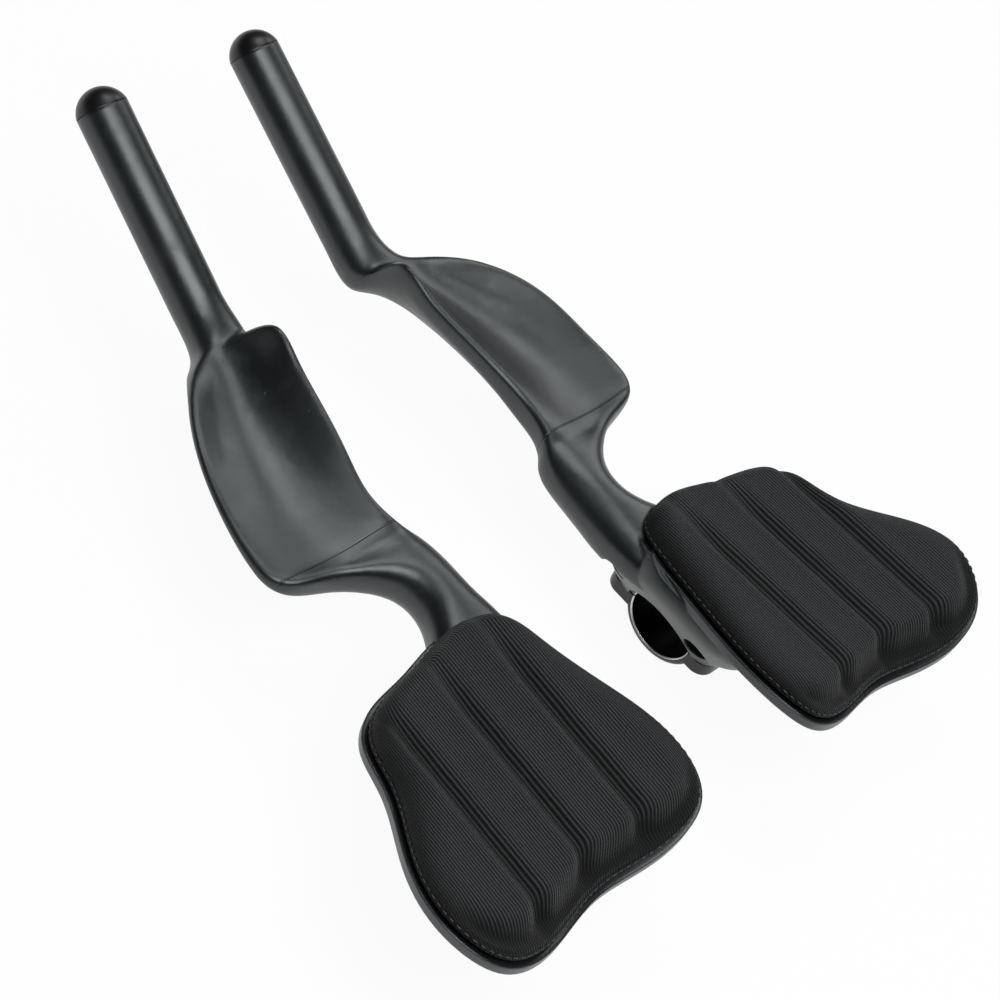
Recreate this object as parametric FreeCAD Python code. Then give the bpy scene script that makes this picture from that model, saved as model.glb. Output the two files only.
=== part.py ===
import FreeCAD, Part
import math
import os
from FreeCAD import Vector

# A pair of one-piece aero extensions for a time trial bar. Millimetres, +Z up, +Y towards the hands,
# +X to the rider's right. The origin is on the axis of the base bar, midway between the two units.
# The right unit is modelled in place and mirrored to give the left one.

# Base bar and clamp
bar_diameter = 31.8
clamp_face_x = 46.0
clamp_width = 32.0
clamp_gap = 0.8
cap_wall = 3.6
cap_round = 2.8
ear_thickness = 6.5
ear_ahead = 31.5
ear_behind = 27.2
ear_round = 7.0
bore_chamfer = 0.5
recess_wall = 2.4
bolt_ahead = 26.5
bolt_behind = 20.5

# Bolts, which come up through the cap's ears into round cross nuts
bolt_diameter = 5.0
bolt_clearance = 0.4
thread_clearance = 0.05
head_diameter = 8.5
head_height = 5.0
head_clearance = 0.25
hex_size = 4.0
hex_depth = 2.6
nut_diameter = 11.6
nut_clearance = 0.1
nut_start_x = 44.0
nut_length = 26.0
nut_height = 14.2
nut_chamfer = 0.8

# Grip tube, from its root in the scoop up to the end cap
grip_diameter = 22.2
grip_bore = 18.4
grip_length = 94.0
grip_rise = 27.6
grip_toe = 1.0
grip_root_x = 41.9
grip_root_y = 200.6
grip_root_z = 27.8
root_run = 30.0
grip_bore_depth = 60.0
cap_dome = 9.8
cap_stem = 14.0
cap_lip = 0.5
plug_clearance = 0.1

# Tray under the pad: a trough along the forearm
trough_radius = 116.5
trough_low = 25.5
trough_x = 87.0
trough_y = -25.0
trough_toe = 3.3
tray_wall = 4.4

# Elbow pad
pad_inset = 2.6
pad_top = 46.2
pad_crown_radius = 300.0
pad_edge = 6.5
pad_roll = 8.0
groove_depth = 4.6
groove_pitch = 28.6
groove_count = 3
groove_sharpness = 3
tape_thickness = 1.2
tape_width = 22.0
tape_length = 64.0
tape_pitch = 34.0
seat_gap = 0.3
seam_tolerance = 0.005

# Fineness of the free-form surfaces
blade_bluntness = 2.0
section_points = 24
root_rings = 4
pedestal_bluntness = 4.0
pad_columns = 37
pad_rows = 23
pad_overhang = 1.12

grip_root = Vector(grip_root_x, grip_root_y, grip_root_z)
grip_radius = grip_diameter / 2
bar_radius = bar_diameter / 2
bolt_x = clamp_face_x + clamp_width / 2
clamp_end_x = clamp_face_x + clamp_width
ear_low = -clamp_gap / 2 - ear_thickness

# Cross-sections of the moulding behind the grip, from the grip's root to under the tray:
# (y, inner edge x, z, outer edge x, z, dish below the chord, thickness, keel below that, lean in degrees)
sections = [
    (190.0, 31.6, 28.0, 57.0, 27.4, 0.5, 18.0, 4.0, 17.0),
    (182.0, 35.2, 41.0, 66.0, 31.4, 7.0, 12.0, 10.0, 8.0),
    (173.0, 35.2, 51.6, 75.3, 35.8, 14.0, 7.5, 12.0, 4.0),
    (158.0, 35.8, 48.6, 86.5, 38.0, 14.5, 6.5, 9.0, 0.0),
    (138.0, 38.5, 43.9, 96.0, 36.2, 12.0, 6.5, 8.0, 0.0),
    (116.0, 42.3, 39.5, 101.2, 31.6, 9.0, 7.0, 9.0, 0.0),
    (98.0, 44.7, 34.8, 103.4, 29.0, 6.5, 8.0, 11.0, 0.0),
    (88.0, 43.5, 33.0, 101.8, 27.7, 6.0, 9.5, 9.0, 0.0),
    (82.5, 41.5, 31.0, 96.5, 26.5, 4.5, 11.5, 7.0, 0.0),
    (78.0, 38.5, 28.0, 82.5, 24.3, 2.5, 15.0, 4.5, 0.0),
    (72.0, 35.7, 25.5, 70.5, 24.2, 0.8, 19.0, 2.0, 0.0),
    (62.0, 33.8, 23.5, 60.5, 24.0, 0.0, 23.0, 0.0, 0.0),
    (48.0, 33.0, 22.0, 58.5, 23.5, 0.0, 24.5, 0.0, 0.0),
    (36.0, 32.2, 22.5, 64.0, 22.0, 0.0, 24.0, 0.0, 0.0),
    (22.0, 32.2, 24.0, 76.0, 21.0, 0.0, 22.0, 0.0, 0.0),
    (4.0, 34.0, 25.0, 80.0, 20.0, 0.0, 16.0, 0.0, 0.0),
]

# Plan of the tray's rim, round from the front inner corner: narrow front, two rear lobes and a notch
tray_plan = [
    (44.5, 29.5), (60.0, 35.5), (84.0, 31.0), (108.0, 25.0), (121.0, 14.5), (127.5, -3.0),
    (145.0, -31.9), (152.9, -58.0), (142.0, -80.4), (119.4, -85.2), (83.9, -78.8), (50.6, -81.6),
    (33.5, -77.0), (25.2, -55.7), (29.8, -16.9), (35.5, 9.4),
]

# Pedestal between clamp and tray, upwards:
# (z, spread beyond the clamp's foot inwards, outwards, back, ahead)
pedestal_levels = [
    (clamp_gap / 2, 2.0, 0.0, 1.5, 0.5),
    (9.0, 6.8, 1.0, 6.0, 4.5),
    (16.0, 10.5, 6.0, 12.0, 3.5),
    (23.0, 13.5, 16.0, 17.0, -1.0),
    (31.0, 15.5, 30.0, 21.0, -7.0),
    (36.0, 14.5, 36.0, 22.0, -10.0),
]


def turn(degrees):
    return math.cos(math.radians(degrees)), math.sin(math.radians(degrees))


def smooth_loop(points):
    curve = Part.BSplineCurve()
    curve.interpolate(points, PeriodicFlag=True)
    return Part.Wire([curve.toShape()])


def grip_axis():
    rise_cos, rise_sin = turn(grip_rise)
    toe_cos, toe_sin = turn(grip_toe)
    return Vector(-toe_sin * rise_cos, toe_cos * rise_cos, rise_sin)


def cambered_section(inner, outer, lean, dish, thickness, keel):
    """Closed section between two edges: a dished mean line, an even wall, round edges and a keel below."""
    lean_cos, lean_sin = turn(lean)
    chord = outer - inner
    across = Vector(chord).normalize()
    up = Vector(0, -lean_sin, lean_cos)
    up = (up - across * up.dot(across)).normalize()
    middle = (inner + outer) / 2
    half = chord.Length / 2
    bluntness = 2 + blade_bluntness * max(0.0, 1 - thickness / chord.Length)
    points = []
    for step in range(section_points):
        angle = 2 * math.pi * step / section_points
        u = -math.copysign(abs(math.cos(angle)) ** (2 / bluntness), math.cos(angle))
        w = math.copysign(abs(math.sin(angle)) ** (2 / bluntness), math.sin(angle))
        slope = math.atan2(2 * dish * u, half)
        normal = up * math.cos(slope) - across * math.sin(slope)
        mean = middle + across * (half * u) - up * (dish * (1 - u * u))
        sag = keel * (1 - u) / 2 * max(0.0, -w)
        points.append(mean + normal * (w * thickness / 2) - Vector(0, 0, sag))
    return points


def tube_section(distance):
    centre = grip_root + grip_axis() * distance
    toe_cos, toe_sin = turn(grip_toe)
    across = Vector(toe_cos, toe_sin, 0) * grip_radius
    return cambered_section(centre - across, centre + across, grip_rise, 0.0, grip_diameter, 0.0)


def skinned_solid(rows):
    """Solid through closed rows of points: periodic splines round each row, splines along the rows."""
    ring = [float(step) for step in range(len(rows[0]) + 1)]
    loops = []
    for row in rows:
        loop = Part.BSplineCurve()
        loop.interpolate(Points=row, PeriodicFlag=True, Parameters=ring)
        loops.append(loop)
    run = [0.0]
    for row, following in zip(rows, rows[1:]):
        gaps = [(b - a).Length for a, b in zip(row, following)]
        run.append(run[-1] + sum(gaps) / len(gaps))
    ribs = []
    for column in zip(*[loop.getPoles() for loop in loops]):
        rib = Part.BSplineCurve()
        rib.interpolate(Points=list(column), Parameters=run)
        ribs.append(rib)
    poles = [list(level) for level in zip(*[rib.getPoles() for rib in ribs])]
    surface = Part.BSplineSurface()
    surface.buildFromPolesMultsKnots(
        poles, ribs[0].getMultiplicities(), loops[0].getMultiplicities(),
        ribs[0].getKnots(), loops[0].getKnots(), False, True, ribs[0].Degree, loops[0].Degree)
    ends = [Part.Face(Part.Wire([surface.uIso(u).toShape()])) for u in (run[0], run[-1])]
    shell = Part.Shell([surface.toShape()] + ends)
    shell.sewShape()
    solid = Part.Solid(shell)
    if solid.Volume < 0:
        solid.reverse()
    return solid


def grip_tube():
    start = grip_root + grip_axis() * root_run
    mouth = grip_root + grip_axis() * grip_length
    tube = Part.makeCylinder(grip_radius, grip_length - root_run, start, grip_axis())
    return tube.cut(Part.makeCylinder(grip_bore / 2, grip_bore_depth, mouth, grip_axis() * -1))


def moulding():
    """Scoop and neck: one skin that leaves the round grip along its axis and ends under the tray."""
    rows = [tube_section(root_run * ring / root_rings) for ring in range(root_rings, 0, -1)]
    for y, inner_x, inner_z, outer_x, outer_z, dish, thickness, keel, lean in sections:
        inner, outer = Vector(inner_x, y, inner_z), Vector(outer_x, y, outer_z)
        rows.append(cambered_section(inner, outer, lean, dish, thickness, keel))
    return skinned_solid(rows)


def trough_axes():
    """Directions along and across the forearm."""
    toe_cos, toe_sin = turn(trough_toe)
    return Vector(-toe_sin, toe_cos, 0), Vector(toe_cos, toe_sin, 0)


def trough_cylinder(radius):
    along = trough_axes()[0]
    start = Vector(trough_x, trough_y, trough_low + trough_radius) - along * trough_radius
    return Part.makeCylinder(radius, 2 * trough_radius, start, along)


def plan_loop(inset):
    """The tray's plan, moved inwards by the inset."""
    corners = [Vector(x, y, 0) for x, y in tray_plan]
    moved = []
    for before, corner, after in zip(corners[-1:] + corners, corners, corners[1:] + corners[:1]):
        heading = (after - before).normalize()
        moved.append(corner + Vector(heading.y, -heading.x, 0) * inset)
    return smooth_loop(moved)


def plan_prism(inset):
    return Part.Face(plan_loop(inset)).extrude(Vector(0, 0, trough_radius))


def tray():
    shell = trough_cylinder(trough_radius + tray_wall).cut(trough_cylinder(trough_radius))
    return plan_prism(0).common(shell)


def pedestal():
    """Flared foot that carries the tray down to the clamp."""
    rows = []
    for height, inwards, outwards, back, ahead in pedestal_levels:
        low_x, high_x = clamp_face_x - inwards, clamp_end_x + outwards
        low_y, high_y = -ear_behind - back, ear_ahead + ahead
        row = []
        for step in range(section_points):
            angle = 2 * math.pi * (step + 0.5) / section_points
            u = math.copysign(abs(math.cos(angle)) ** (2 / pedestal_bluntness), math.cos(angle))
            w = math.copysign(abs(math.sin(angle)) ** (2 / pedestal_bluntness), math.sin(angle))
            x = (low_x + high_x) / 2 + u * (high_x - low_x) / 2
            y = (low_y + high_y) / 2 + w * (high_y - low_y) / 2
            row.append(Vector(x, y, height))
        rows.append(row)
    return skinned_solid(rows)


def bolt_places():
    return [Vector(bolt_x, bolt_ahead, 0), Vector(bolt_x, -bolt_behind, 0)]


def upright(diameter, low, high, place):
    return Part.makeCylinder(diameter / 2, high - low, place + Vector(0, 0, low))


def crosswise(diameter, start_x, length, y, z):
    return Part.makeCylinder(diameter / 2, length, Vector(start_x, y, z), Vector(1, 0, 0))


def bore_edge(face_x, side):
    """Cone that breaks the bar bore's edge on one face of the clamp."""
    return Part.makeCone(bar_radius + bore_chamfer, bar_radius, bore_chamfer,
                         Vector(face_x, 0, 0), Vector(side, 0, 0))


def extension():
    """The whole moulding: skin, tray and pedestal joined and bored, then the grip tube on its root."""
    body = moulding().fuse([tray(), pedestal()])
    body = body.cut(plan_prism(pad_inset - seat_gap).common(trough_cylinder(trough_radius)))
    tools = [crosswise(bar_diameter, 0, 2 * clamp_end_x, 0, 0), bore_edge(clamp_face_x, 1)]
    tools.append(crosswise(bar_diameter + 2 * recess_wall, 0, clamp_face_x, 0, 0))
    pocket = nut_diameter + 2 * nut_clearance
    for place in bolt_places():
        tools.append(upright(bolt_diameter + bolt_clearance, 0, nut_height + nut_diameter, place))
        tools.append(crosswise(pocket, 0, nut_start_x + nut_length, place.y, nut_height))
    return body.cut(tools).fuse([grip_tube()], seam_tolerance)


def end_cap():
    stem = grip_bore / 2 - plug_clearance
    profile = [Vector(0, 0, -cap_stem), Vector(stem, 0, -cap_stem), Vector(stem, 0, 0),
               Vector(grip_radius - cap_lip, 0, 0), Vector(grip_radius - cap_lip, 0, cap_lip),
               Vector(grip_radius, 0, cap_lip)]
    edges = [Part.LineSegment(a, b).toShape() for a, b in zip(profile, profile[1:])]
    rise = cap_dome - cap_lip
    dome_radius = (grip_radius ** 2 + rise ** 2) / (2 * rise)
    half_cos, half_sin = turn(math.degrees(math.asin(grip_radius / dome_radius)) / 2)
    shoulder = Vector(dome_radius * half_sin, 0, cap_dome - dome_radius * (1 - half_cos))
    edges.append(Part.Arc(profile[-1], shoulder, Vector(0, 0, cap_dome)).toShape())
    edges.append(Part.LineSegment(Vector(0, 0, cap_dome), profile[0]).toShape())
    plug = Part.Face(Part.Wire(edges)).revolve(Vector(0, 0, 0), Vector(0, 0, 1), 360)
    mouth = grip_root + grip_axis() * grip_length
    plug.Placement = FreeCAD.Placement(mouth, FreeCAD.Rotation(Vector(0, 0, 1), grip_axis()))
    return plug


def clamp_cap():
    """Half hoop with an ear ahead and an ear behind, cleared for the bolts' heads."""
    top = -clamp_gap / 2
    corner = Vector(clamp_face_x, -ear_behind, ear_low)
    ears = Part.makeBox(clamp_width, ear_ahead + ear_behind, ear_thickness, corner)
    corners = [edge for edge in ears.Edges if edge.BoundBox.ZLength > ear_thickness / 2]
    ears = ears.makeFillet(ear_round, corners)
    hoop = crosswise(bar_diameter + 2 * cap_wall, clamp_face_x, clamp_width, 0, 0)
    hoop = hoop.makeFillet(cap_round, [edge for edge in hoop.Edges if edge.BoundBox.XLength < cap_round])
    reach = bar_diameter + clamp_width
    above = Part.makeBox(reach, reach, reach, Vector(clamp_face_x, -reach / 2, top))
    cap = ears.fuse(hoop.cut(above)).removeSplitter()
    tools = [crosswise(bar_diameter, clamp_face_x, clamp_width, 0, 0)]
    tools += [bore_edge(clamp_face_x, 1), bore_edge(clamp_end_x, -1)]
    for place in bolt_places():
        tools.append(upright(bolt_diameter + bolt_clearance, ear_low, top, place))
        tools.append(upright(head_diameter + 2 * head_clearance, ear_low - bar_diameter, ear_low, place))
    return cap.cut(tools)


def clamp_bolts():
    bolts = []
    head_low = ear_low - head_height
    for place in bolt_places():
        bolt = upright(bolt_diameter, ear_low, nut_height + nut_diameter / 2, place)
        bolt = bolt.fuse(upright(head_diameter, head_low, ear_low, place)).removeSplitter()
        corners = []
        for step in range(7):
            hex_cos, hex_sin = turn(60 * step)
            reach = Vector(hex_cos, hex_sin, 0) * (hex_size / math.sqrt(3))
            corners.append(place + reach + Vector(0, 0, head_low))
        socket = Part.Face(Part.makePolygon(corners)).extrude(Vector(0, 0, hex_depth))
        bolts.append(bolt.cut(socket))
    return Part.makeCompound(bolts)


def cross_nuts():
    nuts = []
    for place in bolt_places():
        nut = crosswise(nut_diameter, nut_start_x, nut_length, place.y, nut_height)
        rims = [edge for edge in nut.Edges if edge.BoundBox.XLength < nut_chamfer]
        nut = nut.makeChamfer(nut_chamfer, rims)
        thread = upright(bolt_diameter + 2 * thread_clearance, 0, nut_height + nut_diameter, place)
        nuts.append(nut.cut(thread))
    return Part.makeCompound(nuts)


def hook_tape():
    along, across = trough_axes()
    shell = trough_cylinder(trough_radius).cut(trough_cylinder(trough_radius - tape_thickness))
    strips = []
    middle = Vector(trough_x, trough_y, 0)
    for shift in (-tape_pitch / 2, tape_pitch / 2):
        corner = middle + across * (shift - tape_width / 2) - along * (tape_length / 2)
        width, length = across * tape_width, along * tape_length
        outline = Part.makePolygon([corner, corner + width, corner + width + length, corner + length, corner])
        strips.append(Part.Face(outline).extrude(Vector(0, 0, trough_radius)).common(shell))
    return Part.makeCompound(strips)


def arch(radius, offset):
    return radius - math.sqrt(radius * radius - offset * offset)


def elbow_pad():
    """Pad on the trough: crowned panels between grooves, rolled down to its edge all round."""
    along, across = trough_axes()
    loop = plan_loop(pad_inset)
    prism = plan_prism(pad_inset)
    box = prism.BoundBox
    reach_across = box.XLength / 2 * pad_overhang
    reach_along = box.YLength / 2 * pad_overhang
    middle = Vector(trough_x, box.Center.y, 0)
    grid = []
    for column in range(pad_columns):
        v = reach_across * (2 * column / (pad_columns - 1) - 1)
        floor = trough_low + arch(trough_radius, v) + tape_thickness
        groove = 0.0
        if abs(v) < groove_pitch * groove_count / 2:
            groove = groove_depth * math.cos(math.pi * v / groove_pitch) ** (2 * groove_sharpness)
        full = pad_top + arch(pad_crown_radius, v) - groove - floor - pad_edge
        line = []
        for row in range(pad_rows):
            t = reach_along * (2 * row / (pad_rows - 1) - 1)
            place = middle + across * v + along * t
            inside = prism.isInside(place + Vector(0, 0, pad_edge), seam_tolerance, True)
            depth = loop.distToShape(Part.Vertex(place))[0] if inside else 0.0
            roll = math.sin(math.pi / 2 * min(1.0, depth / pad_roll))
            line.append(place + Vector(0, 0, floor + pad_edge + max(0.0, full) * roll))
        grid.append(line)
    surface = Part.BSplineSurface()
    surface.interpolate(grid)
    filling = surface.toShape().extrude(Vector(0, 0, -trough_radius))
    return filling.common(prism).common(trough_cylinder(trough_radius - tape_thickness))


def main():
    os.makedirs("parts", exist_ok=True)
    pieces = {
        "extension": extension(), "end_cap": end_cap(), "clamp_cap": clamp_cap(),
        "clamp_bolts": clamp_bolts(), "cross_nuts": cross_nuts(), "hook_tape": hook_tape(),
        "elbow_pad": elbow_pad(),
    }
    for name, piece in pieces.items():
        piece.exportStep("parts/right_%s.step" % name)
        piece.mirror(Vector(0, 0, 0), Vector(1, 0, 0)).exportStep("parts/left_%s.step" % name)


main()
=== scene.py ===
import math
import bpy
import numpy as np
from mathutils import Matrix, Vector
from mathutils.bvhtree import BVHTree


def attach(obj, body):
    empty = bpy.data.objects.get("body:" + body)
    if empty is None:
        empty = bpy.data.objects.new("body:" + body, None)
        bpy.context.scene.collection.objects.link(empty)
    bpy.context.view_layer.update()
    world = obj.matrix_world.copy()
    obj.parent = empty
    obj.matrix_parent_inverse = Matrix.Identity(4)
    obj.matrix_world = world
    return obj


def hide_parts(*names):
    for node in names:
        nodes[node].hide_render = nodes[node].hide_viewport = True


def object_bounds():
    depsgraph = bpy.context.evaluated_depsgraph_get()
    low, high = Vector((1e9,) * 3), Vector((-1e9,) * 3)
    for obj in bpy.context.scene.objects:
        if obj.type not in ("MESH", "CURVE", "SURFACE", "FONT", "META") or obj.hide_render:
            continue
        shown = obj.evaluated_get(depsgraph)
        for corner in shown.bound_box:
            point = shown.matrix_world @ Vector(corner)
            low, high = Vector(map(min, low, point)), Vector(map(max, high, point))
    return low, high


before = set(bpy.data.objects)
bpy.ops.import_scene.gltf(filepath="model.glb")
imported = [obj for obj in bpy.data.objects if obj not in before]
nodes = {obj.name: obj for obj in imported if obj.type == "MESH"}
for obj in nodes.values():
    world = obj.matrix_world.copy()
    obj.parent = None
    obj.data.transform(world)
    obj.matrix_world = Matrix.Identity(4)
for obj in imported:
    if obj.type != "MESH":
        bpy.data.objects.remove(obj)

cad_box = [list(corner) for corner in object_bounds()]
scene = bpy.context.scene
scene.view_settings.view_transform = "Standard"
MM = 0.001

# Camera of the photograph, on a square frame of 1000 pixels
camera_place = Vector((-0.574361, -0.207060, 0.734847))
camera_right = Vector((0.688260, -0.657632, 0.306298))
camera_up = Vector((0.397020, 0.694814, 0.599674))
focal_pixels = 2400
frame_pixels = 1000
sensor_width = 36.0

# Plan of the tray's rim and the trough under the pad, as in the part's source (mm)
tray_plan = [
    (44.5, 29.5), (60.0, 35.5), (84.0, 31.0), (108.0, 25.0), (121.0, 14.5), (127.5, -3.0),
    (145.0, -31.9), (152.9, -58.0), (142.0, -80.4), (119.4, -85.2), (83.9, -78.8), (50.6, -81.6),
    (33.5, -77.0), (25.2, -55.7), (29.8, -16.9), (35.5, 9.4),
]
trough_radius = 116.5
trough_low = 25.5
trough_place = (87.0, -25.0)
trough_toe = math.radians(3.3)
tape_thickness = 1.2

# Clamp and cross nuts (mm)
bar_radius = 15.9
clamp_middle = 62.0
clamp_width = 32.0
nut_places = (26.5, -20.5)
nut_height = 14.2
nut_rim = 4.9
nut_rim_fade = 0.5
bore_edge = 16.45
bore_slack = 0.1
edge_back = 0.52
face_slack = 0.02

# Joint line across the neck, behind the scoop (mm)
joint_place = 81.4
joint_slant = 0.045
joint_half = (0.18, 0.5)
joint_heights = (18.0, 23.0)
joint_share = 0.9
joint_depth = 0.22

# Finishes: the span of the slow noise that is used, and slow waves in a moulded skin (mm)
tone_span = (0.3, 0.7)
wave_strength = 0.5
wave_depth = 1.2
bevel_samples = 6

# Elbow pad (mm)
pad_inset = 2.6
pad_top = 46.2
pad_crown_radius = 300.0
pad_side = 3.2
pad_bulge = 0.6
side_roll = 12.0
front_roll = 6.5
flange_width = 4.5
flange_rise = 9.5
flange_share = 0.12
panel_round = 3.5
groove_depth = 4.6
groove_pitch = 28.6
groove_half = 3.0
groove_power = 2.4
groove_fade = 0.75
groove_fade_run = (22.0, 52.0)
crest_height = 0.35
crest_place = 2.3
crest_half = 2.2
front_run = (20.0, 48.0)
back_run = (-30.0, -50.0)
panel_reach = 5.0
climb_softness = 0.02
shoulder_power = 2.4
flange_start = 1.5
side_rings = ((0.75, 0.7), (0.5, 1.0), (0.25, 0.75), (0.05, 0.0), (0.0, -1.5))
base_rings = (0.7, 0.35, 0.02)
pad_centre = 0.02
rib_pitch = 1.25
wrap_share = 0.7
outline_steps = 360
ring_steps = 84
rib_field = 200.0

# Fairing over the hollow between scoop and neck, on rays from an axis below the neck (mm, degrees)
fairing_axis = (62.0, -20.0)
fairing_fan = (36.0, 150.0, 0.75)
fairing_run = (37.0, 150.0, 0.8)
fairing_ball = 140.0
fairing_rounds = 24
fairing_heights = (25.0, 31.0)
fairing_start = 8.0
fairing_end = 30.0
fairing_edge = (1.0, 12.0)
skin_jump = 1.5
skin_gap = 1.0
ray_length = 120.0

# Stitching round the pad (mm)
stitch_out = 0.5
stitch_share = 0.85
stitch_count = 118
stitch_radius = 0.28
stitch_rings = 7
stitch_sides = 8
stitch_steps = 12
stitch_pitch_steps = 20
stitch_taper = 0.98

# Studio: floor, sky and lamps as name, place and size (m), and power (W)
floor_glow = 0.94
floor_reach = 6.0
sky_strength = 0.05
lamp_aim = Vector((0.0, 0.05, 0.03))
lamps = [
    ("key", (-0.25, -0.52, 1.39), (1.3, 0.8), 21.0),
    ("front", (0.35, 0.67, 1.35), (0.7, 0.7), 6.5),
    ("side", (1.18, 0.43, 0.82), (0.7, 0.7), 4.0),
]


def linked(obj):
    scene.collection.objects.link(obj)
    return obj


def aim_camera():
    """Camera where the photographer stood, level with the photo's own tilt."""
    data = bpy.data.cameras.new("photo_camera")
    data.sensor_width = sensor_width
    data.lens = sensor_width * focal_pixels / frame_pixels
    data.clip_start = 0.05
    camera = linked(bpy.data.objects.new("photo_camera", data))
    back = camera_right.cross(camera_up)
    axes = Matrix((camera_right, camera_up, back)).transposed()
    camera.matrix_world = Matrix.Translation(camera_place) @ axes.to_4x4()
    scene.camera = camera


# Node helpers

def add(tree, kind, **settings):
    node = tree.nodes.new(kind)
    for name, value in settings.items():
        setattr(node, name, value)
    return node


def feed(tree, target, value):
    """Link a socket into the target, or set the target's own value."""
    if isinstance(value, bpy.types.NodeSocket):
        tree.links.new(value, target)
    else:
        target.default_value = value


def math_node(tree, operation, *values):
    node = add(tree, "ShaderNodeMath", operation=operation)
    for socket, value in zip(node.inputs, values):
        feed(tree, socket, value)
    return node.outputs[0]


def spread(tree, value, low, high, to_low, to_high):
    node = add(tree, "ShaderNodeMapRange")
    for socket, entry in zip(node.inputs, (value, low, high, to_low, to_high)):
        feed(tree, socket, entry)
    return node.outputs[0]


def blend(tree, factor, first, second):
    node = add(tree, "ShaderNodeMix", data_type="RGBA")
    feed(tree, node.inputs["Factor"], factor)
    feed(tree, node.inputs["A"], first)
    feed(tree, node.inputs["B"], second)
    return node.outputs["Result"]


def noise(tree, place, scale, detail=3.0, roughness=0.55):
    node = add(tree, "ShaderNodeTexNoise")
    feed(tree, node.inputs["Vector"], place)
    node.inputs["Scale"].default_value = scale
    node.inputs["Detail"].default_value = detail
    node.inputs["Roughness"].default_value = roughness
    return node.outputs["Fac"]


def varied(tree, tone, low, high):
    """A slow variation between two values."""
    return spread(tree, tone, *tone_span, low, high)


def object_place(tree):
    """Sockets of the place on the object, one for each axis."""
    place = add(tree, "ShaderNodeSeparateXYZ")
    tree.links.new(add(tree, "ShaderNodeTexCoord").outputs["Object"], place.inputs[0])
    return place.outputs


def length_of(tree, first, second):
    """Length of the diagonal over two sides."""
    square = [math_node(tree, "MULTIPLY", side, side) for side in (first, second)]
    return math_node(tree, "SQRT", math_node(tree, "ADD", *square))


def new_group(name, inputs, outputs):
    group = bpy.data.node_groups.new(name, "ShaderNodeTree")
    for label, value in inputs:
        socket = group.interface.new_socket(label, in_out="INPUT", socket_type="NodeSocketFloat")
        socket.default_value = value
    for label in outputs:
        group.interface.new_socket(label, in_out="OUTPUT", socket_type="NodeSocketFloat")
    return group, add(group, "NodeGroupInput"), add(group, "NodeGroupOutput")


def fine_grain_group():
    """Fine moulded grain: a height for bump and a slow variation of tone."""
    group, given, result = new_group("fine_grain", [("Grain Scale", 900.0)], ["Height", "Tone"])
    place = add(group, "ShaderNodeTexCoord").outputs["Object"]
    grain = add(group, "ShaderNodeTexNoise")
    group.links.new(place, grain.inputs["Vector"])
    group.links.new(given.outputs["Grain Scale"], grain.inputs["Scale"])
    grain.inputs["Detail"].default_value = 4.0
    group.links.new(grain.outputs["Fac"], result.inputs["Height"])
    group.links.new(noise(group, place, 26.0, 4.0), result.inputs["Tone"])
    return group


def handling_group():
    """Marks of handling: soft smudges and a few fine scratches, as masks."""
    group, given, result = new_group("handling_marks", [("Amount", 1.0)], ["Smudge", "Scratch"])
    place = add(group, "ShaderNodeTexCoord").outputs["Object"]
    patches = spread(group, noise(group, place, 34.0, 5.0, 0.62), 0.55, 0.75, 0.0, 1.0)
    feed(group, result.inputs["Smudge"], math_node(group, "MULTIPLY", patches, given.outputs["Amount"]))
    stretch = add(group, "ShaderNodeMapping")
    group.links.new(place, stretch.inputs["Vector"])
    stretch.inputs["Rotation"].default_value = (0.3, 0.2, 0.9)
    stretch.inputs["Scale"].default_value = (20.0, 420.0, 420.0)
    lines = spread(group, noise(group, stretch.outputs[0], 1.0, 2.0), 0.70, 0.76, 0.0, 1.0)
    where = spread(group, noise(group, place, 18.0, 2.0), 0.58, 0.70, 0.0, 1.0)
    scratch = math_node(group, "MULTIPLY", lines, where)
    feed(group, result.inputs["Scratch"], math_node(group, "MULTIPLY", scratch, given.outputs["Amount"]))
    return group


def bore_edge_group():
    """Masks of the bar bore, which gets near-black painted shade, and of the bare edge that breaks it on the
    faces of the clamp.
    """
    group, given, result = new_group("bore_shade_and_bare_edge", [("Edge Radius", bore_edge * MM)], ["Edge", "Bore Shade"])
    place = object_place(group)
    reach = length_of(group, place["Y"], place["Z"])
    side = math_node(group, "ABSOLUTE", place["X"])
    from_middle = math_node(group, "ABSOLUTE", math_node(group, "SUBTRACT", side, clamp_middle * MM))
    near_face = math_node(group, "GREATER_THAN", from_middle, (clamp_width / 2 - edge_back) * MM)
    on_face = math_node(group, "LESS_THAN", from_middle, (clamp_width / 2 + face_slack) * MM)
    near_bore = math_node(group, "LESS_THAN", reach, given.outputs["Edge Radius"])
    face = math_node(group, "MULTIPLY", near_face, on_face)
    feed(group, result.inputs["Edge"], math_node(group, "MULTIPLY", face, near_bore))
    # The bore's inside: this mask places painted shade there
    in_bore = math_node(group, "LESS_THAN", reach, (bar_radius + bore_slack) * MM)
    feed(group, result.inputs["Bore Shade"], math_node(group, "MULTIPLY", in_bore, on_face))
    return group


fine_grain = fine_grain_group()
handling_marks = handling_group()
bore_shade_and_bare_edge = bore_edge_group()


def use_group(tree, group, **values):
    node = add(tree, "ShaderNodeGroup", node_tree=group)
    for name, value in values.items():
        feed(tree, node.inputs[name.replace("_", " ")], value)
    return node.outputs


def new_material(name):
    material = bpy.data.materials.new(name)
    material.use_nodes = True
    return material, material.node_tree, material.node_tree.nodes["Principled BSDF"]


def bump_over(tree, height, strength, distance, normal=None):
    node = add(tree, "ShaderNodeBump")
    node.inputs["Strength"].default_value = strength
    node.inputs["Distance"].default_value = distance
    feed(tree, node.inputs["Height"], height)
    if normal:
        tree.links.new(normal, node.inputs["Normal"])
    return node.outputs["Normal"]


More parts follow.
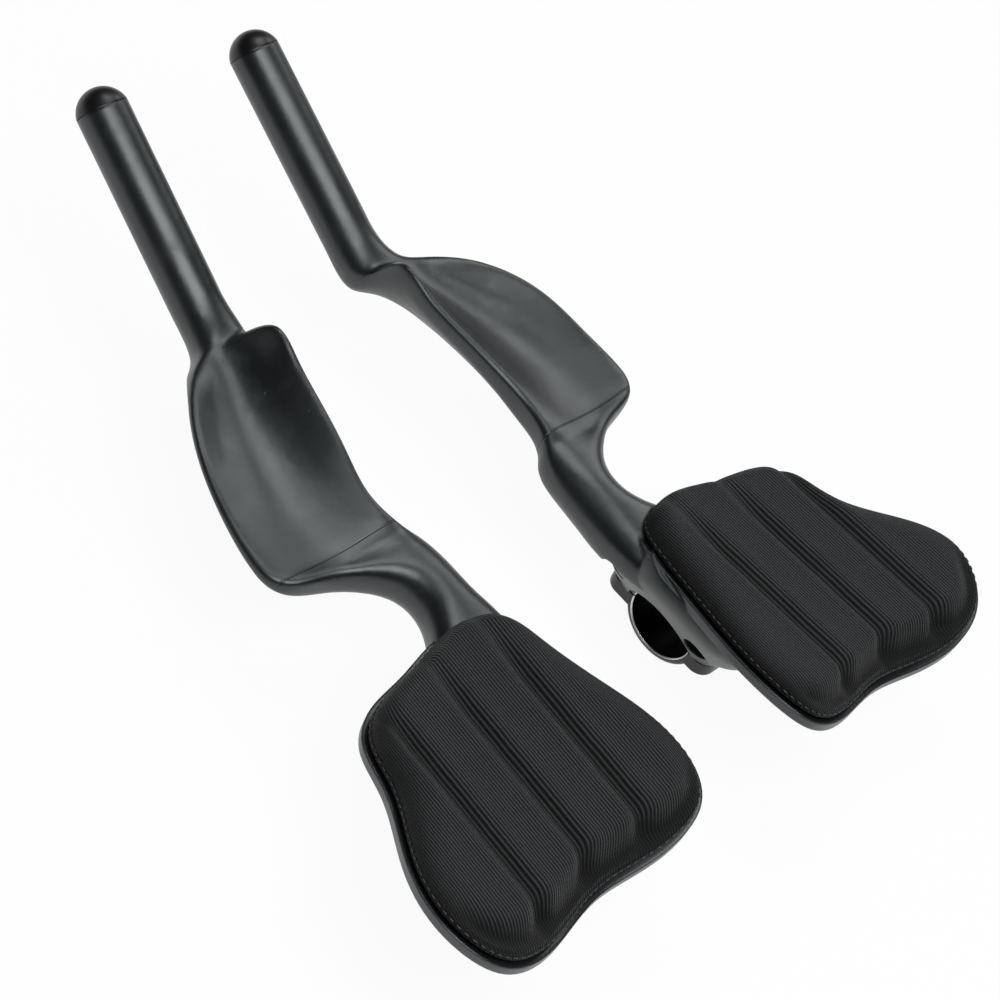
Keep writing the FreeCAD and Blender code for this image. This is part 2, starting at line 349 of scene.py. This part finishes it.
def bump(tree, shader, height, strength, distance, edge=0.0, wave=None):
    """Bump from a height, over edges that look rounded by a given radius, and over slow waves."""
    normal = None
    if edge:
        soft = add(tree, "ShaderNodeBevel", samples=bevel_samples)
        soft.inputs["Radius"].default_value = edge
        normal = soft.outputs["Normal"]
    if wave:
        normal = bump_over(tree, wave, wave_strength, wave_depth * MM, normal)
    tree.links.new(bump_over(tree, height, strength, distance, normal), shader.inputs["Normal"])


def grained_finish(name, dark, light, rough, grain_scale, grain_depth, marks, edge=0.0, wavy=False):
    """A moulded or coated finish: two tones, varied roughness, fine grain and marks of handling, whose
    lighter smudges are partly dust and partly painted reflection.
    """
    material, tree, shader = new_material(name)
    grain = use_group(tree, fine_grain, Grain_Scale=grain_scale)
    worn = use_group(tree, handling_marks, Amount=marks)
    tone = blend(tree, grain["Tone"], dark, light)
    # Lighter smudges: partly dust, partly painted patchy reflection
    dust_and_painted_reflection = [channel * 1.8 for channel in light[:3]] + [1.0]
    tone = blend(tree, math_node(tree, "MULTIPLY", worn["Smudge"], 0.6), tone, dust_and_painted_reflection)
    tone = blend(tree, math_node(tree, "MULTIPLY", worn["Scratch"], 0.5), tone, (0.10, 0.105, 0.11, 1.0))
    tree.links.new(tone, shader.inputs["Base Color"])
    base = varied(tree, grain["Tone"], *rough)
    hazy = math_node(tree, "MULTIPLY", worn["Smudge"], 0.12)
    feed(tree, shader.inputs["Roughness"], math_node(tree, "ADD", base, hazy))
    bump(tree, shader, grain["Height"], 0.25, grain_depth, edge, grain["Tone"] if wavy else None)
    return material, tree, shader


def base_colour(shader):
    return shader.inputs["Base Color"].links[0].from_socket


def paint_bore_shade_and_bare_edge(tree, shader):
    """Painted shade in the bar bore, as near-black metal, and bright bare metal on its broken edge."""
    masks = use_group(tree, bore_shade_and_bare_edge)
    # Painted shade: the inside of the bore is made near-black
    black = blend(tree, masks["Bore Shade"], base_colour(shader), (0.002, 0.002, 0.002, 1))
    bright = blend(tree, masks["Edge"], black, (0.70, 0.71, 0.72, 1))
    tree.links.new(bright, shader.inputs["Base Color"])
    # The painted shade in the bore is made metallic too, so it reflects almost nothing
    feed(tree, shader.inputs["Metallic"], math_node(tree, "MAXIMUM", masks["Bore Shade"], masks["Edge"]))


def moulding_finish():
    """Satin black moulding with the faint joint line that crosses the neck behind the scoop."""
    material, tree, shader = grained_finish(
        "satin_carbon_moulding", (0.0034, 0.0044, 0.0048, 1), (0.0076, 0.0094, 0.0100, 1),
        (0.31, 0.41), 1100.0, 0.00002, 1.0, 1.9 * MM, wavy=True)
    shader.inputs["Specular IOR Level"].default_value = 0.78
    shader.inputs["Specular Tint"].default_value = (0.93, 0.985, 1.0, 1)
    place = object_place(tree)
    slant = math_node(tree, "MULTIPLY", math_node(tree, "ABSOLUTE", place["X"]), joint_slant)
    offset = math_node(tree, "SUBTRACT", place["Y"], math_node(tree, "ADD", slant, joint_place * MM))
    narrow, wide = (half * MM for half in joint_half)
    line = spread(tree, math_node(tree, "ABSOLUTE", offset), narrow, wide, 1.0, 0.0)
    low, high = (height * MM for height in joint_heights)
    line = math_node(tree, "MULTIPLY", line, spread(tree, place["Z"], low, high, 0.0, joint_share))
    lined = blend(tree, line, base_colour(shader), (0.002, 0.002, 0.002, 1))
    tree.links.new(lined, shader.inputs["Base Color"])
    socket = shader.inputs["Normal"]
    groove = math_node(tree, "SUBTRACT", 1.0, line)
    tree.links.new(bump_over(tree, groove, 0.9, joint_depth * MM, socket.links[0].from_socket), socket)
    # Painted shade in the bar bore, and bare metal on its edge
    paint_bore_shade_and_bare_edge(tree, shader)
    return material


def clamp_finish():
    """Black anodised clamp with a bare bright edge round the bore."""
    material, tree, shader = grained_finish(
        "black_anodised", (0.006, 0.006, 0.0065, 1), (0.010, 0.010, 0.0105, 1),
        (0.34, 0.44), 1400.0, 0.00002, 0.4, 0.5 * MM)
    # Painted shade in the bar bore, and bare metal on its edge
    paint_bore_shade_and_bare_edge(tree, shader)
    return material


def nut_finish():
    """Blackened cross nuts, worn bright round their chamfered ends."""
    material, tree, shader = new_material("blackened_nut_steel")
    grain = use_group(tree, fine_grain, Grain_Scale=1600.0)
    place = object_place(tree)
    middle = sum(nut_places) / 2 * MM
    apart = (nut_places[0] - nut_places[1]) / 2 * MM
    lie = math_node(tree, "ABSOLUTE", math_node(tree, "SUBTRACT", place["Y"], middle))
    lie = math_node(tree, "SUBTRACT", lie, apart)
    rise = math_node(tree, "SUBTRACT", place["Z"], nut_height * MM)
    rim = spread(tree, length_of(tree, lie, rise), nut_rim * MM, (nut_rim + nut_rim_fade) * MM, 0.0, 1.0)
    black = blend(tree, grain["Tone"], (0.020, 0.020, 0.021, 1), (0.035, 0.035, 0.036, 1))
    tree.links.new(blend(tree, rim, black, (0.55, 0.55, 0.56, 1)), shader.inputs["Base Color"])
    shader.inputs["Metallic"].default_value = 1.0
    feed(tree, shader.inputs["Roughness"], varied(tree, grain["Tone"], 0.30, 0.42))
    bump(tree, shader, grain["Height"], 0.3, 0.00003)
    return material


def steel_finish():
    """Plain bolt steel."""
    material, tree, shader = new_material("brushed_bolt_steel")
    grain = use_group(tree, fine_grain, Grain_Scale=1600.0)
    steel = blend(tree, grain["Tone"], (0.50, 0.50, 0.51, 1), (0.66, 0.66, 0.67, 1))
    tree.links.new(steel, shader.inputs["Base Color"])
    shader.inputs["Metallic"].default_value = 1.0
    feed(tree, shader.inputs["Roughness"], varied(tree, grain["Tone"], 0.24, 0.36))
    bump(tree, shader, grain["Height"], 0.3, 0.00003, 0.3 * MM)
    return material


def ribbed_fabric():
    """Black knit ribbed along the forearm, with painted shade between the ribs and painted shade where it is
    pulled down to a seam.
    """
    material, tree, shader = new_material("ribbed_pad_fabric")
    place = add(tree, "ShaderNodeTexCoord")
    lie = add(tree, "ShaderNodeSeparateXYZ")
    tree.links.new(add(tree, "ShaderNodeUVMap", uv_map="forearm").outputs[0], lie.inputs[0])
    drawn_shade = add(tree, "ShaderNodeSeparateXYZ")
    tree.links.new(add(tree, "ShaderNodeUVMap", uv_map="drawn_down_shade").outputs[0], drawn_shade.inputs[0])
    sway = math_node(tree, "MULTIPLY", noise(tree, place.outputs["Object"], 60.0, 2.0), 0.0022)
    across = math_node(tree, "ADD", lie.outputs["X"], sway)
    turns = math_node(tree, "MULTIPLY", across, 2 * math.pi * rib_field / rib_pitch)
    rib = spread(tree, math_node(tree, "SINE", turns), -1.0, 1.0, 0.0, 1.0)
    rib = math_node(tree, "POWER", rib, 1.6)
    stitch_turns = math_node(tree, "MULTIPLY", lie.outputs["Y"], 2 * math.pi * rib_field / 0.9)
    stitch = spread(tree, math_node(tree, "SINE", stitch_turns), -1.0, 1.0, 0.0, 1.0)
    fuzz = noise(tree, place.outputs["Object"], 2600.0, 3.0, 0.7)
    patch = noise(tree, place.outputs["Object"], 70.0, 3.0)
    height = math_node(tree, "ADD", rib, math_node(tree, "MULTIPLY", stitch, 0.22))
    height = math_node(tree, "ADD", height, math_node(tree, "MULTIPLY", fuzz, 0.45))
    # Painted shade: near-black thread colour in the valleys between ribs, lighter on the crests
    thread = blend(tree, rib, (0.0008, 0.0009, 0.0010, 1), (0.042, 0.046, 0.048, 1))
    bright = spread(tree, patch, 0.4, 0.65, 0.15, 0.55)
    lint = math_node(tree, "MULTIPLY", spread(tree, fuzz, 0.56, 0.76, 0.0, 1.0), bright)
    cloth = blend(tree, lint, thread, (0.085, 0.09, 0.096, 1))
    # Painted shade, near-black, in the channels, at the sides and on the flange where the fabric is pulled
    # down
    dark = spread(tree, drawn_shade.outputs["X"], 0.08, 0.6, 0.0, 0.78)
    tree.links.new(blend(tree, dark, cloth, (0.0012, 0.0013, 0.0014, 1)), shader.inputs["Base Color"])
    feed(tree, shader.inputs["Roughness"], varied(tree, patch, 0.74, 0.88))
    shader.inputs["Specular IOR Level"].default_value = 0.25
    shader.inputs["Sheen Weight"].default_value = 0.06
    shader.inputs["Sheen Roughness"].default_value = 0.4
    bump(tree, shader, height, 0.8, 0.00035)
    return material


def thread_finish():
    """Dark grey sewing thread, twisted."""
    material, tree, shader = new_material("sewing_thread")
    grain = use_group(tree, fine_grain, Grain_Scale=2400.0)
    twist = blend(tree, grain["Height"], (0.006, 0.006, 0.007, 1), (0.055, 0.055, 0.06, 1))
    tree.links.new(twist, shader.inputs["Base Color"])
    feed(tree, shader.inputs["Roughness"], varied(tree, grain["Tone"], 0.45, 0.6))
    bump(tree, shader, grain["Height"], 0.5, 0.0001)
    return material


# Elbow pad

def closed_spline(points, count):
    """Even samples of the closed cubic spline through the points."""
    points = np.array(points)
    size = len(points)
    step = np.linalg.norm(np.roll(points, -1, 0) - points, axis=1)
    before = np.roll(step, 1)
    system = np.zeros((size, size))
    right = np.zeros((size, 2))
    for k in range(size):
        system[k, k - 1] = before[k]
        system[k, k] = 2 * (before[k] + step[k])
        system[k, (k + 1) % size] = step[k]
        ahead = (points[(k + 1) % size] - points[k]) / step[k]
        behind = (points[k] - points[k - 1]) / before[k]
        right[k] = 6 * (ahead - behind)
    curve = np.linalg.solve(system, right)
    ends = np.concatenate([[0.0], np.cumsum(step)])
    places = np.linspace(0, ends[-1], count, endpoint=False)
    k = np.clip(np.searchsorted(ends, places, side="right") - 1, 0, size - 1)
    h, b = step[k][:, None], (places - ends[k])[:, None]
    a = h - b
    k2 = (k + 1) % size
    return (curve[k] * a ** 3 + curve[k2] * b ** 3) / (6 * h) + (points[k] / h - curve[k] * h / 6) * a \
        + (points[k2] / h - curve[k2] * h / 6) * b


def inset_plan(inset):
    """The tray's plan moved inwards."""
    plan = np.array(tray_plan)
    heading = np.roll(plan, -1, 0) - np.roll(plan, 1, 0)
    heading /= np.linalg.norm(heading, axis=1)[:, None]
    return plan + np.stack([heading[:, 1], -heading[:, 0]], 1) * inset


def edge_distance(points, outline):
    """Least distance from each point to the closed outline."""
    start, run = outline, np.roll(outline, -1, 0) - outline
    least = np.full(len(points), 1e9)
    for a, d in zip(start, run):
        t = np.clip(((points - a) @ d) / (d @ d), 0, 1)
        least = np.minimum(least, np.linalg.norm(points - a - t[:, None] * d, axis=1))
    return least


def arch(radius, offset):
    """Rise of a hollow of that radius at an offset from its lowest line."""
    return radius - np.sqrt(radius ** 2 - offset ** 2)


def trough_floor(across):
    """Height of the tape's top in the tray's trough."""
    return trough_low + arch(trough_radius, across) + tape_thickness


def lie_on_trough(points):
    """Distances of plan points across and along the forearm."""
    relative = points - np.array(trough_place)
    across = relative @ np.array([math.cos(trough_toe), math.sin(trough_toe)])
    along = relative @ np.array([-math.sin(trough_toe), math.cos(trough_toe)])
    return across, along


def ease(value, low, high):
    """Smooth step from 0 at the low value to 1 at the high one."""
    share = np.clip((value - low) / (high - low), 0, 1)
    return share * share * (3 - 2 * share)


def pad_heights(points, depth):
    """Top of the pad: panels between sewn channels, round in front and at the sides, on a flange behind."""
    across, along = lie_on_trough(points)
    floor = trough_floor(across)
    nearest = np.abs(across - np.round(across / groove_pitch) * groove_pitch)
    channel = np.exp(-(nearest / groove_half) ** groove_power)
    crest = crest_height * np.exp(-((nearest - crest_place * groove_half) / crest_half) ** 2)
    inner = np.abs(across) < 1.5 * groove_pitch
    run_out = 1 - groove_fade * ease(along, *groove_fade_run)
    groove = np.where(inner, (groove_depth * channel - crest) * run_out, 0.0)
    full = pad_top + arch(pad_crown_radius, across) - floor - pad_side - groove
    ahead, behind = ease(along, *front_run), ease(along, *back_run)
    radius = side_roll + (front_roll - side_roll) * ahead
    rounded = np.sqrt(1 - (1 - np.clip(depth / radius, 0, 1)) ** 2)
    corner = np.where(inner, panel_round * np.exp(-(nearest / panel_reach) ** 2), 0.0)
    climb = (depth - flange_width - corner) / flange_rise
    climb = np.clip((climb + np.sqrt(climb ** 2 + climb_softness)) / 2, 0, 1)
    shoulder = 1 - (1 - climb) ** shoulder_power
    stepped = flange_share * ease(depth, 0, flange_start) + (1 - flange_share) * shoulder
    rise = rounded + (stepped - rounded) * behind
    full = np.maximum(full, 0)
    slack = np.sign(across) * wrap_share * full * (1 - rounded) * (1 - behind)
    # How far the top is pulled down below its full height: the amount of painted shade on the fabric
    drawn_shade = np.clip(1 - rise * full / np.maximum(full + groove, 1), 0, 1)
    return floor + pad_side + full * rise, slack, drawn_shade


def handed_mesh(side, name, points, faces, material):
    """Smooth mesh from the right side's points (mm), mirrored for the left side."""
    points[:, 0] *= side
    if side > 0:
        faces = [tuple(reversed(face)) for face in faces]
    mesh = bpy.data.meshes.new(name)
    mesh.from_pydata([tuple(p) for p in points * MM], [], faces)
    mesh.shade_smooth()
    mesh.materials.append(material)
    return mesh


def soft_pad(side, name, material):
    """Closed crowned pad: rings of points from the middle out, a bulging edge, and a base on the trough."""
    outline = closed_spline(inset_plan(pad_inset), outline_steps)
    middle = outline.mean(0)
    levels, wraps = [], []
    share = np.sin(np.linspace(pad_centre, 1.0, ring_steps) * np.pi / 2)
    for s in share:
        plan = middle + (outline - middle) * s
        height, slack, drawn_shade = pad_heights(plan, edge_distance(plan, outline))
        levels.append(np.column_stack([plan, height]))
        wraps.append(np.column_stack([slack, drawn_shade]))
    across, _ = lie_on_trough(outline)
    floor = trough_floor(across)
    outward = np.roll(outline, -1, 0) - np.roll(outline, 1, 0)
    outward /= np.linalg.norm(outward, axis=1)[:, None]
    outward = np.stack([-outward[:, 1], outward[:, 0]], 1)
    for rise, push in side_rings:
        plan = outline + outward * pad_bulge * push
        levels.append(np.column_stack([plan, floor + pad_side * rise]))
    for s in base_rings:
        plan = middle + (outline - middle) * s
        across, _ = lie_on_trough(plan)
        levels.append(np.column_stack([plan, trough_floor(across)]))
    wraps += [wraps[-1]] * (len(levels) - len(wraps))
    points, wraps = np.concatenate(levels), np.concatenate(wraps)
    faces = []
    for level in range(len(levels) - 1):
        low, high = level * outline_steps, (level + 1) * outline_steps
        for k in range(outline_steps):
            n = (k + 1) % outline_steps
            faces.append((low + k, low + n, high + n, high + k))
    last = (len(levels) - 1) * outline_steps
    faces.append(tuple(reversed(range(outline_steps))))
    faces.append(tuple(range(last, last + outline_steps)))
    across, along = lie_on_trough(points[:, :2])
    across = across + wraps[:, 0]
    mesh = handed_mesh(side, name, points, faces, material)
    lie = mesh.uv_layers.new(name="forearm")
    # UV map carrying the amount of painted shade
    drawn_shade = mesh.uv_layers.new(name="drawn_down_shade")
    for loop in mesh.loops:
        k = loop.vertex_index
        lie.data[loop.index].uv = (across[k] / rib_field + 0.5, along[k] / rib_field + 0.5)
        drawn_shade.data[loop.index].uv = (wraps[k, 1], 0.0)
    mesh.validate()
    pad = linked(bpy.data.objects.new(name, mesh))
    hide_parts(("right" if side > 0 else "left") + "_elbow_pad")
    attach(pad, "root")
    return pad


def edge_stitching(side, name, material):
    """Short threads laid round the pad on the seam of its side."""
    outline = closed_spline(inset_plan(pad_inset - stitch_out), stitch_pitch_steps * stitch_count)
    across, _ = lie_on_trough(outline)
    floor = trough_floor(across)
    line = np.column_stack([outline, floor + pad_side * stitch_share])
    points, faces = [], []
    for stitch in range(stitch_count):
        for ring in range(stitch_rings):
            share = ring / (stitch_rings - 1)
            k = stitch_pitch_steps * stitch + int(round(stitch_steps * share))
            heading = line[(k + 1) % len(line)] - line[k - 1]
            heading /= np.linalg.norm(heading)
            aside = np.cross(heading, (0.0, 0.0, 1.0))
            aside /= np.linalg.norm(aside)
            above = np.cross(aside, heading)
            radius = stitch_radius * math.sqrt(max(0.0, 1 - (stitch_taper * (2 * share - 1)) ** 4))
            for corner in range(stitch_sides):
                angle = 2 * math.pi * corner / stitch_sides
                points.append(line[k] + radius * (aside * math.cos(angle) + above * math.sin(angle)))
        start = stitch * stitch_rings * stitch_sides
        for ring in range(stitch_rings - 1):
            low, high = start + ring * stitch_sides, start + (ring + 1) * stitch_sides
            for corner in range(stitch_sides):
                turn = (corner + 1) % stitch_sides
                faces.append((low + corner, low + turn, high + turn, high + corner))
        faces.append(tuple(start + corner for corner in reversed(range(stitch_sides))))
        end = start + (stitch_rings - 1) * stitch_sides
        faces.append(tuple(end + corner for corner in range(stitch_sides)))
    mesh = handed_mesh(side, name, np.array(points), faces, material)
    thread = linked(bpy.data.objects.new(name, mesh))
    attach(thread, "root")
    return thread


# Fairing of the neck

def skin_reach(node):
    """Distance of the moulding's skin from the fairing's axis, by direction and by place along the neck."""
    place = node.matrix_world
    tree = BVHTree.FromPolygons([place @ v.co for v in node.data.vertices],
                                [tuple(face.vertices) for face in node.data.polygons])
    fan, run = np.radians(np.arange(*fairing_fan)), np.arange(*fairing_run)
    reach = np.full((len(fan), len(run)), np.nan)
    for i, angle in enumerate(fan):
        outward = Vector((math.cos(angle), 0.0, math.sin(angle)))
        for j, along in enumerate(run):
            start = Vector((fairing_axis[0], along, fairing_axis[1])) + outward * ray_length
            hit, _, _, gone = tree.ray_cast(start * MM, -outward, ray_length * MM)
            if hit is not None:
                reach[i, j] = ray_length - gone / MM
    return fan, run, reach


def shifted(field, step, axis):
    """The field moved by one cell, with its edge repeated."""
    moved = np.roll(field, step, axis)
    edge = (0 if step > 0 else -1, slice(None))[::1 if axis == 0 else -1]
    moved[edge] = field[edge]
    return moved


def evened(field, whole):
    """Local average of the field over its whole cells."""
    total, share = np.where(whole, field, 0.0), whole.astype(float)
    for _ in range(fairing_rounds):
        for axis in (0, 1):
            total = (2 * total + shifted(total, 1, axis) + shifted(total, -1, axis)) / 4
            share = (2 * share + shifted(share, 1, axis) + shifted(share, -1, axis)) / 4
    return total / np.maximum(share, 1e-6)


def rolled_over(reach, run, broken):
    """The reach with its hollows along the neck filled as if a large ball had rolled over them."""
    filled = reach.copy()
    drop = (run[:, None] - run[None, :]) ** 2 / (2 * fairing_ball)
    for line, whole, cut in zip(filled, reach, broken):
        ends = np.flatnonzero(np.concatenate([[True], cut, [True]]))
        for start, end in zip(ends, ends[1:] - 1):
            count = end - start
            if count > 2:
                rolled = (whole[start:end][None, :] - drop[:count, :count]).max(1)
                line[start:end] = (rolled[None, :] + drop[:count, :count]).min(1)
    return filled


def fairing_field(node):
    """Reach of the moulding's skin, and how far it is filled out to fair the scoop's floor into the neck."""
    fan, run, reach = skin_reach(node)
    broken = np.isnan(reach) | ~(np.abs(np.diff(reach, axis=1, prepend=reach[:, :1])) < skin_jump)
    whole = ~broken
    reach = np.where(whole, reach, 0.0)
    even = np.where(whole, evened(reach, whole), 0.0)
    spot = np.stack(np.meshgrid(fan * reach[whole].mean(), run, indexing="ij"), 2)
    beside = sum(shifted(whole, step, axis).astype(int) for step in (1, -1) for axis in (0, 1))
    from_edge = np.full(reach.shape, 1e9)
    for place in spot[broken & (beside > 0)]:
        from_edge = np.minimum(from_edge, np.linalg.norm(spot - place, axis=2))
    height = fairing_axis[1] + reach * np.sin(fan)[:, None]
    share = ease(height, *fairing_heights) * ease(from_edge, *fairing_edge)
    share = share * ease(run - run[0], 0, fairing_start) * ease(run[-1] - run, 0, fairing_end)
    fill = (rolled_over(even, run, broken) - reach) * share
    return reach, np.where(whole, evened(fill, whole), 0.0)


def between(field, row, column):
    """The field's value between its cells."""
    i = np.clip(np.floor(row).astype(int), 0, field.shape[0] - 2)
    j = np.clip(np.floor(column).astype(int), 0, field.shape[1] - 2)
    a, b = np.clip(row - i, 0, 1), np.clip(column - j, 0, 1)
    return (field[i, j] * (1 - a) + field[i + 1, j] * a) * (1 - b) \
        + (field[i, j + 1] * (1 - a) + field[i + 1, j + 1] * a) * b


def faired_moulding(side, name, node, field, material):
    """The moulding's own mesh with the hollow between scoop and neck filled out."""
    reach, fill = field
    mesh = nodes[node].data.copy()
    mesh.name = name
    points = np.empty(3 * len(mesh.vertices))
    mesh.vertices.foreach_get("co", points)
    points = points.reshape(-1, 3) / MM
    x, z = side * points[:, 0] - fairing_axis[0], points[:, 2] - fairing_axis[1]
    row = (np.degrees(np.arctan2(z, x)) - fairing_fan[0]) / fairing_fan[2]
    column = (points[:, 1] - fairing_run[0]) / fairing_run[2]
    inside = (row >= 0) & (row <= fill.shape[0] - 1) & (column >= 0) & (column <= fill.shape[1] - 1)
    radius = np.hypot(x, z)
    outer = inside & (np.abs(radius - between(reach, row, column)) < skin_gap)
    growth = 1 + np.where(outer, between(fill, row, column), 0.0) / radius
    points[:, 0] = side * (fairing_axis[0] + x * growth)
    points[:, 2] = fairing_axis[1] + z * growth
    mesh.vertices.foreach_set("co", (points * MM).ravel())
    mesh.update()
    mesh.materials.clear()
    mesh.materials.append(material)
    body = linked(bpy.data.objects.new(name, mesh))
    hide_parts(node)
    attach(body, "root")
    return body


def dress_nodes(moulding):
    """Finishes of the carried-over nodes."""
    plug = grained_finish(
        "satin_rubber_plug", (0.0020, 0.0020, 0.0022, 1), (0.0040, 0.0040, 0.0043, 1),
        (0.34, 0.44), 700.0, 0.00004, 0.3)[0]
    tape = grained_finish(
        "hook_tape_nylon", (0.006, 0.006, 0.007, 1), (0.014, 0.014, 0.015, 1),
        (0.8, 0.9), 1500.0, 0.0002, 0.0)[0]
    finishes = {"extension": moulding, "end_cap": plug, "clamp_cap": clamp_finish(),
                "clamp_bolts": steel_finish(), "cross_nuts": nut_finish(), "hook_tape": tape}
    for name, obj in nodes.items():
        for piece, finish in finishes.items():
            if name.endswith(piece):
                obj.data.materials.clear()
                obj.data.materials.append(finish)


def studio():
    """White floor, a broad soft key light from behind and above, a front light and a side light."""
    low = cad_box[0][2]
    material, tree, shader = new_material("white_floor")
    shader.inputs["Base Color"].default_value = (0.82, 0.82, 0.82, 1)
    shader.inputs["Roughness"].default_value = 0.9
    path = add(tree, "ShaderNodeLightPath")
    seen = math_node(tree, "MAXIMUM", path.outputs["Is Camera Ray"], path.outputs["Is Glossy Ray"])
    seen = math_node(tree, "MAXIMUM", seen, path.outputs["Is Transmission Ray"])
    glow = add(tree, "ShaderNodeEmission")
    mix = add(tree, "ShaderNodeMixShader")
    feed(tree, mix.inputs[0], math_node(tree, "MULTIPLY", seen, floor_glow))
    tree.links.new(shader.outputs[0], mix.inputs[1])
    tree.links.new(glow.outputs[0], mix.inputs[2])
    output = [node for node in tree.nodes if node.type == "OUTPUT_MATERIAL"][0]
    tree.links.new(mix.outputs[0], output.inputs["Surface"])
    mesh = bpy.data.meshes.new("floor")
    signs = ((-1, -1), (1, -1), (1, 1), (-1, 1))
    mesh.from_pydata([(x * floor_reach, y * floor_reach, low) for x, y in signs], [], [(0, 1, 2, 3)])
    mesh.materials.append(material)
    linked(bpy.data.objects.new("floor", mesh))

    world = bpy.data.worlds.new("studio")
    scene.world = world
    world.use_nodes = True
    sky = world.node_tree.nodes["Background"]
    sky.inputs["Color"].default_value = (1.0, 1.0, 1.0, 1)
    sky.inputs["Strength"].default_value = sky_strength
    for name, place, size, power in lamps:
        data = bpy.data.lights.new(name, "AREA")
        data.shape = "RECTANGLE"
        data.size, data.size_y = size
        data.energy = power
        lamp = linked(bpy.data.objects.new(name, data))
        lamp.location = place
        lamp.rotation_euler = (lamp_aim - Vector(place)).to_track_quat("-Z", "Y").to_euler()


aim_camera()
moulding = moulding_finish()
dress_nodes(moulding)
field = fairing_field(nodes["right_extension"])
for side, name, node in ((1, "right_moulding", "right_extension"), (-1, "left_moulding", "left_extension")):
    faired_moulding(side, name, node, field, moulding)
fabric = ribbed_fabric()
thread = thread_finish()
for side, name in ((1, "right_soft_pad"), (-1, "left_soft_pad")):
    soft_pad(side, name, fabric)
for side, name in ((1, "right_edge_stitching"), (-1, "left_edge_stitching")):
    edge_stitching(side, name, thread)
studio()
